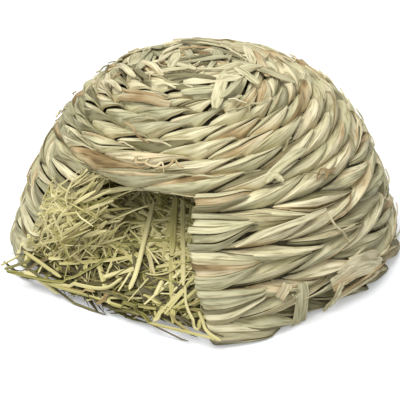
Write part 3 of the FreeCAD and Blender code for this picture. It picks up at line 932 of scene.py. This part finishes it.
class IGLOO_OT_loose_leaves(bpy.types.Operator):
    """Loose, crumpled and torn leaves and curly fibres that stand away from the weave"""

    bl_idname = "igloo.loose_leaves"
    bl_label = "Loose leaves"

    def execute(self, context):
        weave, dome, chance, leaves = begin(context, "loose_leaves", 42)
        for stations, half, tone, brown, crumple in LOOSE_LEAVES:
            samples = 6 * len(stations)
            path, outward = over_dome(dome, stations, samples)
            to_end = np.minimum(np.linspace(0, 1, samples), np.linspace(1, 0, samples))
            # The widest leaf is torn off square, the others come to a point
            halves = 0.001 * half * np.minimum(1.0, (0.9 if half > 2.5 else 0.35) + 4.0 * to_end)
            tone = (tone, brown, chance.random(), 0.2)
            add_ribbon(leaves, chance, path, outward, halves, tone, 0.001 * crumple)
        for _ in range(weave.fibres):
            self.add_fibre(leaves, dome, chance)
        return leaves.finish(*RUSH)

    def add_fibre(self, leaves, dome, chance):
        """One thin curly fibre somewhere on the dome, unless it would hang in the doorway."""
        length = 1000.0 * dome.total * chance.uniform(0.05, 0.97) ** 0.8
        azimuth = chance.uniform(-180.0, 180.0)
        if abs(azimuth) < 50.0 and length < 1000.0 * dome.lintel + 4.0:
            return
        radius = max(0.03, float(np.interp(0.001 * length, dome.length, dome.radius)))
        turn = math.degrees(chance.uniform(0.0015, 0.005) / radius)
        rise = chance.gauss(0.0, 1.6)
        high = chance.uniform(0.2, 1.2)
        stations = []
        for k in range(4):
            along = length + rise * k + chance.gauss(0.0, 0.5)
            stations.append((azimuth + turn * k, along, 0.3 + high * (k > 0) + 0.6 * chance.random()))
        path, outward = over_dome(dome, stations, FIBRE_SAMPLES)
        tone = leaf_tone(chance, 0.62)
        halves = np.full(FIBRE_SAMPLES, chance.uniform(0.00018, 0.00055))
        add_ribbon(leaves, chance, path, outward, halves, tone)


class IGLOO_OT_crown(bpy.types.Operator):
    """Leaf ends drawn together in the middle of the roof"""

    bl_idname = "igloo.crown"
    bl_label = "Crown"

    def execute(self, context):
        weave, dome, chance, leaves = begin(context, "crown_ends", 25)
        s = np.linspace(0.0, 1.0, 7)[:, None]
        for i in range(CROWN_ENDS):
            turn = 2.0 * math.pi * (i + chance.uniform(-0.4, 0.4)) / CROWN_ENDS
            reach = chance.uniform(0.007, 0.0135)
            inward = chance.uniform(-0.003, 0.002)
            rise = chance.uniform(0.0003, 0.0018)
            swirl = chance.uniform(0.1, 0.9)
            width = chance.uniform(0.0008, 0.0018)
            out = inward + (reach - inward) * s
            angle = turn + swirl * s
            x = AXIS.x + out * np.sin(angle)
            y = AXIS.y - out * np.cos(angle)
            z = dome.shape.height - 0.0012 + rise * np.sin(math.pi * s) - 0.0045 * s ** 3
            half = width * np.sin(math.pi * np.clip(0.1 + 0.8 * s, 0.0, 1.0))
            side_x = np.cos(angle) * half
            side_y = np.sin(angle) * half
            bump = 0.0005 * (1.0 - RIDGES ** 2)
            top = np.stack([x + side_x * RIDGES, y + side_y * RIDGES, z + bump], axis=-1)
            back = np.stack([x, y, z - 0.0005], axis=-1)
            across = np.append(RIDGES, 0.0) * width
            leaves.add(np.concatenate([top, back], axis=1), across, leaf_tone(chance, 0.5))
        self.add_tangle(leaves, dome, chance, weave.tangle)
        return leaves.finish(*RUSH)

    def add_tangle(self, leaves, dome, chance, count):
        """Loose leaves that lie every way over the roof, so that its middle is no neat spiral."""
        s = np.linspace(-0.5, 0.5, 9)
        for _ in range(count):
            reach = BARE_RADIUS * chance.random() ** 0.7
            turn = chance.uniform(-math.pi, math.pi)
            heading = turn + chance.gauss(0.1, 0.35) + (1.3 if chance.random() < 0.2 else 0.0)
            length = chance.uniform(0.014, 0.034)
            curve = chance.gauss(0.0, 0.12)
            x = reach * math.sin(turn) + length * (np.cos(heading) * s - curve * np.sin(heading) * s * s)
            y = -reach * math.cos(turn) + length * (np.sin(heading) * s + curve * np.cos(heading) * s * s)
            azimuth = np.arctan2(x, -y)
            radius = np.hypot(x, y)
            falling = dome.radius[::-1]
            radius = radius + dome.hand_shape(azimuth, np.interp(radius, falling, dome.height[::-1]))
            along = np.interp(radius, falling, dome.length[::-1])
            lift = chance.uniform(0.0002, 0.0014) + chance.uniform(0.0, 0.0028) * ease(0.5 + s)
            point, outward = dome.place(azimuth, along, -lift)
            half = chance.choice((0.0007, 0.0016, 0.0024, 0.0031))
            half = half * np.minimum(1.0, 0.45 + 3.0 * (0.5 - np.abs(s)))
            add_ribbon(leaves, chance, point, outward, half, leaf_tone(chance, 0.3))


class HayShape:
    """Top of the hay: a slope in the doorway, a rounded bed behind it and a heap at the left."""

    def __init__(self, shape, weave, hay):
        self.dome = Dome(shape, weave)
        self.hay = hay
        self.front = shape.outer_radius * math.cos(float(self.dome.jamb(0.0, 1.0))) + hay.spill
        self.room = shape.outer_radius - shape.wall

    def top(self, x, y):
        """Height of the hay at a place measured from the dome's axis."""
        hay = self.hay
        inside = np.maximum(0.0, y + self.front)
        climb = 1.0 - np.exp(-((inside / hay.slope) ** 1.5))
        radius = np.hypot(x, y) / self.room
        bed = hay.height - (hay.height - hay.wall_height) * np.minimum(1.0, radius) ** 2
        heap = hay.heap * np.exp(-((x - hay.heap_x) ** 2 + (y - hay.heap_y) ** 2) / hay.heap_spread ** 2)
        return hay.lip + (bed + heap - hay.lip) * climb

    def front_at(self, x):
        """How far in front of the axis the hay reaches: it is bowed back towards both jambs."""
        shape = self.dome.shape
        foot = np.where(x > 0.0, shape.right_foot, shape.left_foot)
        bow = np.minimum(1.0, np.abs(x) / foot) ** 3
        return self.front - bow * (self.front - np.sqrt(shape.outer_radius ** 2 - foot ** 2))

    def room_at(self, azimuth, height):
        """Inner radius of the wall at an azimuth and a height."""
        shape = self.dome.shape
        length = np.interp(height, self.dome.height, self.dome.length)
        radius = np.interp(length, self.dome.length, self.dome.radius)
        slope = np.interp(length, self.dome.length, self.dome.slope_out)
        return radius - self.dome.hand_shape(azimuth, height) - shape.wall / np.maximum(0.5, slope)

    def inside(self, x, y, z, margin):
        """Whether a place is clear of the wall: within it, or in the doorway between the jambs."""
        azimuth = np.arctan2(x, -y)
        height = np.clip(z, 0.0, 0.9 * self.dome.shape.height)
        within = np.hypot(x, y) < self.room_at(azimuth, height) - margin
        length = np.interp(height, self.dome.height, self.dome.length)
        radius = np.interp(length, self.dome.length, self.dome.radius)
        right = radius * np.sin(self.dome.jamb(length, 1.0))
        left = radius * np.sin(self.dome.jamb(length, -1.0))
        throat = (x < right - margin) & (x > margin - left) & (y < 0.0) & (z < THROAT_HEIGHT)
        outside = (np.hypot(x, y) > self.dome.shape.outer_radius + 0.0015) & (z < LIP_HEIGHT)
        return within | throat | outside


class IGLOO_OT_hay_mound(bpy.types.Operator):
    """The matted hay below the loose stems, dark with painted shade"""

    bl_idname = "igloo.hay_mound"
    bl_label = "Hay mound"

    def execute(self, context):
        bed, chance = begin_hay(context, "hay_mound", 31)[1:3]
        columns = 96
        rows = 26
        turns = 2.0 * math.pi * np.arange(columns) / columns
        # Outward in steps of half a millimetre, until the wall or the bed's lip is reached
        reach = np.cumsum([0.03] + [0.0005] * 180)[:, None]
        x = reach * np.sin(turns)
        y = -reach * np.cos(turns)
        stops = ~bed.inside(x, y, bed.top(x, y), 0.0006) | (y < MOUND_BACK - bed.front_at(x))
        rim = reach[stops.argmax(axis=0), 0] - 0.0005
        points = []
        for i in range(rows):
            share = 1.0 - i / rows
            x = share * rim * np.sin(turns)
            y = -share * rim * np.cos(turns)
            low = 0.0045 * np.exp(-np.maximum(0.0, y + bed.front_at(x) - MOUND_BACK) / 0.006)
            z = np.maximum(0.001, bed.top(x, y) - 0.0032 - low)
            rough = np.array([chance.uniform(-0.0014, 0.0014) for _ in turns])
            points.append(np.stack([AXIS.x + x, AXIS.y + y, z + rough * min(1.0, 4 * share)], axis=-1))
        foot = points[0].copy()
        foot[:, 2] = MOUND_FOOT
        index = np.arange((rows + 1) * columns).reshape(rows + 1, columns)
        faces = quads(close_rows(index)).tolist() + [index[-1].tolist(), index[0, ::-1].tolist()]
        dress(new_piece("hay_mound", np.array([foot, *points]), faces, "painted_shade_hay"), "meadow_hay", "hay_bed")
        return {"FINISHED"}


def add_stem(leaves, path, radius, flat, tone, facing):
    """One stem along a path: round if flat is 1, a blade if it is small."""
    tangent = unit(np.gradient(path, axis=0))
    side = unit(np.cross(facing, tangent))[:, None]
    up = np.cross(tangent, side[:, 0])[:, None]
    count = len(path)
    taper = np.minimum(np.linspace(0.55, 9.0, count), np.linspace(9.0, 0.35, count))
    size = (radius * np.clip(taper, 0.0, 1.0))[:, None, None]
    wide = size * np.cos(STEM_RING)[:, None]
    thick = size * flat * np.sin(STEM_RING)[:, None]
    leaves.add(path[:, None] + side * wide + up * thick, STEM_ACROSS * radius, tone)


class IGLOO_OT_hay_stems(bpy.types.Operator):
    """Loose stems and blades of hay over the bed and out of the doorway"""

    bl_idname = "igloo.hay_stems"
    bl_label = "Hay stems"

    def execute(self, context):
        hay, bed, chance, leaves = begin_hay(context, "hay_stems", 32)
        made = 0
        tries = 0
        s = np.linspace(-0.5, 0.5, STEM_SAMPLES)
        while made < hay.stems and tries < 20 * hay.stems:
            tries += 1
            reach = (bed.room + 0.012) * math.sqrt(chance.random())
            turn = chance.uniform(-math.pi, math.pi)
            x0 = reach * math.sin(turn)
            y0 = -reach * math.cos(turn)
            if y0 > -0.01 and chance.random() < LEFT_OUT_BEHIND:
                continue
            broad = chance.random() < BROAD_SHARE
            length = chance.triangular(0.014, 0.095, 0.06 if broad else 0.045)
            if chance.random() < COMBED_SHARE:
                heading = 0.8 * turn + chance.gauss(0.05, 0.36)
            else:
                heading = chance.uniform(0.0, math.pi)
            angle = heading + chance.gauss(0.0, 0.28) * s
            x = x0 + length * (np.cumsum(np.cos(angle)) / STEM_SAMPLES - 0.5 * math.cos(heading))
            y = y0 + length * (np.cumsum(np.sin(angle)) / STEM_SAMPLES - 0.5 * math.sin(heading))
            if np.any(y < -bed.front_at(x) - np.where(x < -0.048, 0.007, 0.0025)):
                continue
            lie = 0.0032 if broad else chance.triangular(-0.0025, 0.0042, 0.0003)
            ground = bed.top(x, y) - FRONT_DROP * (y < -bed.front_at(x))
            level = 0.6 * ground + 0.4 * ground.mean()
            z = level + lie + chance.gauss(0.0, 0.2) * length * s
            z = z + chance.uniform(-0.0005, 0.0025) * (1.0 - 4.0 * s * s)
            z = np.clip(z, np.maximum(0.0010, ground - 0.004), ground + 0.0058)
            if not np.all(bed.inside(x, y, z, 0.0012)):
                continue
            made += 1
            path = np.stack([AXIS.x + x, AXIS.y + y, z], axis=-1)
            blade = broad or chance.random() < BLADE_SHARE
            radius = chance.uniform(*BLADE_RADII) if blade else chance.uniform(0.00022, 0.0006)
            radius = radius + 0.0005 * broad
            facing = np.array([chance.gauss(0.0, 0.35), chance.gauss(-0.1, 0.35), 1.0])
            # Painted light and shade: stems that lie higher and stems further in are lighter, those at the
            # front darker
            tone = hay_tone(chance, (0.0 if broad else lie) + (0.006 if y0 > -0.068 else -0.009))
            add_stem(leaves, path, radius, 0.22 if blade else 0.9, tone, facing)
        return leaves.finish(*HAY)


class IGLOO_OT_jamb_stems(bpy.types.Operator):
    """Stems of the heap that lean on the left jamb, up to the lintel"""

    bl_idname = "igloo.jamb_stems"
    bl_label = "Jamb stems"

    def execute(self, context):
        hay, bed, chance, leaves = begin_hay(context, "jamb_stems", 34)
        dome = bed.dome
        s = np.linspace(0.0, 1.0, STEM_SAMPLES)
        for _ in range(hay.jamb_stems):
            aside = 0.024 * chance.random() ** 1.6
            high = 0.93 - 22.0 * aside
            long = chance.triangular(0.014, 0.048, 0.024)
            way = chance.choice(STEM_WAYS)
            along, back, out = (long * chance.gauss(value, 0.22) * (s - 0.5) for value in way)
            rise = high * chance.triangular(0.0, 1.0, 0.85) + along / dome.lintel
            length = dome.lintel * np.clip(rise, 0.0, 0.97)
            over = -0.0008 - 0.0036 * ease(rise)
            inward = np.maximum(over, chance.triangular(-0.008, 0.026, 0.005) + back)
            point = dome.place(-dome.jamb(length, -1.0), length, inward)[0]
            clear = 0.0034 - 0.0064 * ease(-inward / 0.004) * ease(rise) * (aside < 0.008)
            x = point[:, 0] + clear + np.maximum(0.0, aside + out)
            x = x + chance.gauss(0.001, 0.0015) * np.sin(math.pi * s)
            y = point[:, 1]
            z = np.maximum(point[:, 2], bed.top(x - AXIS.x, y - AXIS.y) + 0.001)
            path = np.stack([x, y, z], axis=-1)
            blade = chance.random() < BLADE_SHARE
            radius = chance.uniform(*BLADE_RADII) if blade else chance.uniform(0.00025, 0.0006)
            facing = unit(np.array([0.8 + chance.gauss(0.0, 0.3), -0.5, 0.4]))
            # Painted light: the stems of the heap at the jamb lie high and are given a lighter tone
            add_stem(leaves, path, radius, 0.25 if blade else 0.9, hay_tone(chance, 0.0095), facing)
        return leaves.finish(*HAY)


# Stems on top of the bed: places in mm from the dome's axis, radius in mm, tone and share of brown
TOP_STEMS = (
    (((-66, -53), (-53, -40)), 2.0, 0.68, 0.0),
    (((-67, -66), (-68, -47), (-62, -24)), 0.6, 0.90, 0.4),
    (((-66, -64), (-56, -41)), 0.7, 0.50, 0.3),
    (((-65, -83), (-59, -72)), 1.5, 0.92, 0.0),
    (((-50, -56), (-34, -66), (-7, -46)), 0.9, 0.86, 0.0),
    (((-6, -43), (4, -77), (4, -86)), 1.3, 0.90, 0.0),
    (((-10, -61), (2, -66), (13, -72)), 0.6, 0.92, 0.0),
    (((-21, -65), (5, -76)), 1.0, 0.66, 0.0),
    (((3, -36), (17, -66)), 1.9, 0.60, 0.0),
    (((3, -34), (13, -68)), 1.3, 0.66, 0.0),
    (((6, -34), (29, -77)), 1.4, 0.82, 0.0),
    (((12, -35), (26, -66)), 1.2, 0.62, 0.0),
    (((17, -67), (32, -93)), 1.5, 0.60, 0.0),
    (((-60, -83), (-33, -90)), 1.0, 0.74, 0.0),
    (((-45, -83), (-25, -77)), 1.7, 0.82, 0.0),
    (((-12, -84), (2, -76)), 1.4, 0.82, 0.0),
    (((-62, -95), (-32, -92), (-21, -83), (-14, -74)), 1.1, 0.34, 0.0),
    (((-37, -93), (-10, -90), (-2, -82)), 1.0, 0.80, 0.0),
    (((23, -96), (30, -78)), 1.2, 0.76, 0.0),
    (((44, -93), (48, -80)), 1.2, 0.62, 0.0),
    (((42, -86), (50, -93), (58, -95)), 0.9, 0.80, 0.0),
    (((8, -77), (14, -77), (20, -74), (24, -67)), 0.5, 0.80, 0.0),
    (((16, -66), (26, -64), (37, -68)), 0.5, 0.86, 0.0),
    (((-58, -60), (-41, -74)), 1.6, 0.84, 0.0),
    (((-53, -57), (-41, -71)), 1.2, 0.82, 0.0),
    (((-59, -40), (-55, -26)), 1.0, 0.55, 0.0),
    (((-49, -56), (-50, -50), (-45, -42)), 0.8, 0.66, 0.0),
    (((-39, -46), (-22, -50)), 1.5, 0.55, 0.0),
    (((-19, -50), (-16, -40)), 1.2, 0.78, 0.0),
    (((-69, -92), (-63, -84)), 0.6, 0.66, 0.0),
    (((-66, -93), (-55, -85)), 0.9, 0.34, 0.0),
    (((-63, -95), (-54, -93)), 0.9, 0.34, 0.0),
    (((-46, -93), (-32, -94), (-9, -93), (8, -93)), 0.7, 0.55, 0.0),
    (((-3, -93), (14, -93), (23, -98)), 1.3, 0.26, 0.0),
    (((22, -98), (40, -96), (57, -94)), 0.8, 0.66, 0.0),
    (((30, -77), (35, -85), (44, -93)), 0.8, 0.86, 0.0),
    (((18, -85), (18, -78)), 1.3, 0.80, 0.0),
    (((-45, -55), (-23, -58)), 0.9, 0.66, 0.0),
    (((-29, -68), (-7, -68)), 1.1, 0.55, 0.0),
    (((-67, -60), (-61, -47)), 0.9, 0.46, 0.0),
    (((-16, -58), (2, -53)), 1.4, 0.40, 0.0),
    (((-38, -84), (-8, -74), (8, -65)), 1.2, 0.66, 0.0),
    (((-54, -78), (-33, -78), (-19, -76)), 1.2, 0.55, 0.0),
    (((-51, -93), (-24, -93), (-3, -93)), 0.7, 0.55, 0.2),
    (((-8, -97), (-5, -91)), 1.3, 0.60, 0.9),
    (((-37, -94), (-12, -92)), 0.8, 0.60, 0.6),
    (((20, -88), (44, -96)), 0.7, 0.60, 0.4),
)


class IGLOO_OT_top_stems(bpy.types.Operator):
    """The long stems and blades on top of the hay, where the doorway shows them"""

    bl_idname = "igloo.top_stems"
    bl_label = "Top stems"

    def execute(self, context):
        bed, chance, leaves = begin_hay(context, "top_stems", 33)[1:]
        for places, radius, tone, brown in TOP_STEMS:
            s = np.linspace(0.0, len(places) - 1.0, 8 * len(places))
            x, y = (0.001 * through([place[k] for place in places], s) for k in range(2))
            ground = bed.top(x, y) - FRONT_DROP * (y < -bed.front_at(x))
            z = 0.5 * ground + 0.5 * np.linspace(ground[0], ground[-1], len(s))
            z = np.maximum(z, ground) + 0.0056 + 0.001 * chance.random()
            path = np.stack([AXIS.x + x, AXIS.y + y, z], axis=-1)
            facing = np.array([chance.gauss(0.1, 0.2), chance.gauss(-0.3, 0.2), 1.0])
            flat = 0.3 if radius > 1.0 else 0.8
            add_stem(leaves, path, 0.001 * radius, flat, (tone, brown, chance.random(), 0.0), facing)
        return leaves.finish(*HAY)


def hay_tone(chance, lie=0.0):
    """Tone of one stem: its place on the ramp, lighter high up as painted light and darker low down as
    painted shade, its brown and its thread.
    """
    brown = chance.uniform(0.2, 0.6) if chance.random() < 0.07 else 0.0
    return (min(1.0, max(0.0, chance.gauss(0.48 + 45.0 * lie, 0.32))), brown, chance.random(), 0.0)


# Lamps: name, azimuth and elevation in degrees, side in metres and power in watts
LAMPS = (
    ("key_light", -14.0, 66.0, 0.9, 16.4),
    ("door_light", 4.0, 18.0, 0.7, 4.5),
    ("fill_light", 75.0, 45.0, 1.2, 1.8),
)
LAMP_DISTANCE = 1.3
# Height in metres of the point that the camera and the lamps look at
AIM_HEIGHT = 0.045


def aim_at_dome(thing, azimuth, elevation, distance):
    """Puts a camera or a lamp at a distance from the middle of the dome and turns it there."""
    level = math.cos(elevation)
    towards = Vector((math.sin(azimuth) * level, -math.cos(azimuth) * level, math.sin(elevation)))
    thing.location = AXIS + Vector((0.0, 0.0, AIM_HEIGHT)) + towards * distance
    thing.rotation_euler = (-towards).to_track_quat("-Z", "Y").to_euler()


class IGLOO_OT_stage(bpy.types.Operator):
    """Floor, lights, world and camera"""

    bl_idname = "igloo.stage"
    bl_label = "Stage"

    def execute(self, context):
        stage = context.scene.igloo_stage
        bpy.ops.mesh.primitive_plane_add(size=4.0, location=(0.0, 0.0, 0.0))
        floor = context.object
        floor.name = "floor"
        floor.data.materials.append(floor_material())
        bpy.ops.object.camera_add()
        camera = context.object
        aim_at_dome(camera, stage.azimuth, stage.elevation, stage.distance)
        camera.data.lens = stage.lens
        camera.data.sensor_width = 36.0
        camera.data.shift_x = stage.shift_x
        camera.data.shift_y = stage.shift_y
        camera.data.clip_end = 20.0
        camera.data.clip_start = 0.01
        context.scene.camera = camera
        for name, turn, pitch, size, power in LAMPS:
            bpy.ops.object.light_add(type="AREA")
            lamp = context.object
            lamp.name = name
            aim_at_dome(lamp, math.radians(turn), math.radians(pitch), LAMP_DISTANCE)
            lamp.data.shape = "SQUARE"
            lamp.data.size = size
            lamp.data.energy = power
        white_world(context.scene)
        context.scene.view_settings.view_transform = "Standard"
        return {"FINISHED"}


def floor_material():
    """White paper floor: it keeps the soft shadow, and shows white around it."""
    material, tree = new_material("paper_floor")
    seen = add_node(tree, "ShaderNodeLightPath")
    paper = add_node(tree, "ShaderNodeBsdfDiffuse", Color=(0.86, 0.87, 0.88, 1.0))
    dull = add_node(tree, "ShaderNodeBsdfDiffuse", Color=(0.45, 0.45, 0.45, 1.0))
    glow = add_node(tree, "ShaderNodeEmission", Color=(1.0, 1.0, 1.0, 1.0), Strength=0.22)
    lit = add_node(tree, "ShaderNodeAddShader", i0=paper.outputs[0], i1=glow.outputs[0])
    camera = seen.outputs["Is Camera Ray"]
    mix = add_node(tree, "ShaderNodeMixShader", i0=camera, i1=dull.outputs[0], i2=lit.outputs[0])
    add_node(tree, "ShaderNodeOutputMaterial", Surface=mix.outputs[0])
    return material


def white_world(scene):
    """A soft white sky: white to the camera and even on the object."""
    world = bpy.data.worlds.new("white_sky")
    scene.world = world
    world.use_nodes = True
    tree = world.node_tree
    tree.nodes.clear()
    seen = add_node(tree, "ShaderNodeLightPath")
    sky = add_node(tree, "ShaderNodeBackground", Color=(0.95, 0.97, 1.0, 1.0), Strength=0.55)
    white = add_node(tree, "ShaderNodeBackground", Color=(1.0, 1.0, 1.0, 1.0), Strength=1.0)
    camera = seen.outputs["Is Camera Ray"]
    mix = add_node(tree, "ShaderNodeMixShader", i0=camera, i1=sky.outputs[0], i2=white.outputs[0])
    add_node(tree, "ShaderNodeOutputWorld", Surface=mix.outputs[0])


class IGLOO_OT_materials(bpy.types.Operator):
    """Materials of the rush and the hay"""

    bl_idname = "igloo.materials"
    bl_label = "Materials"

    def execute(self, context):
        colours = context.scene.igloo_colours
        rush = rush_material(colours)
        hay_material(colours)
        # Painted shade: dark rush for the wall's core, seen through the chinks
        painted_shade_material("shaded_rush", linear("#2c2614"), colours.shade, LEAF_BLOTCH)
        # Painted shade: dark hay for the gaps below the loose stems
        painted_shade_material("painted_shade_hay", linear("#3b3518"), linear("#7f7744"), STEM_BLOTCH)
        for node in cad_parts.values():
            node.data.materials.clear()
            node.data.materials.append(rush)
        return {"FINISHED"}


class IGLOO_PT_sidebar(bpy.types.Panel):
    """Lists the igloo's pieces"""

    bl_idname = "IGLOO_PT_sidebar"
    bl_label = "Rush igloo"
    bl_space_type = "VIEW_3D"
    bl_region_type = "UI"
    bl_category = "Igloo"

    def draw(self, context):
        for operator in OPERATORS:
            self.layout.operator(operator.bl_idname)


GROUPS = {
    "igloo_shape": IglooShape,
    "igloo_weave": IglooWeave,
    "igloo_hay": IglooHay,
    "igloo_colours": IglooColours,
    "igloo_stage": IglooStage,
}
OPERATORS = (
    IGLOO_OT_stage,
    IGLOO_OT_materials,
    IGLOO_OT_wall_core,
    IGLOO_OT_upper_weave,
    IGLOO_OT_lower_weave,
    IGLOO_OT_inner_weave,
    IGLOO_OT_jamb_folds,
    IGLOO_OT_border_leaf,
    IGLOO_OT_loose_leaves,
    IGLOO_OT_crown,
    IGLOO_OT_hay_mound,
    IGLOO_OT_hay_stems,
    IGLOO_OT_jamb_stems,
    IGLOO_OT_top_stems,
)


def register():
    """Register the classes and hang the property groups on the scene."""
    for group in GROUPS.values():
        bpy.utils.register_class(group)
    for name, group in GROUPS.items():
        setattr(bpy.types.Scene, name, PointerProperty(type=group))
    for operator in OPERATORS:
        bpy.utils.register_class(operator)
    bpy.utils.register_class(IGLOO_PT_sidebar)


def unregister():
    """Undo what register did."""
    bpy.utils.unregister_class(IGLOO_PT_sidebar)
    for operator in reversed(OPERATORS):
        bpy.utils.unregister_class(operator)
    for name, group in GROUPS.items():
        delattr(bpy.types.Scene, name)
        bpy.utils.unregister_class(group)


def main():
    """Make every piece in order."""
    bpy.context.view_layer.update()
    register()
    for operator in OPERATORS:
        group, name = operator.bl_idname.split(".")
        getattr(getattr(bpy.ops, group), name)()


if __name__ == "__main__":
    main()
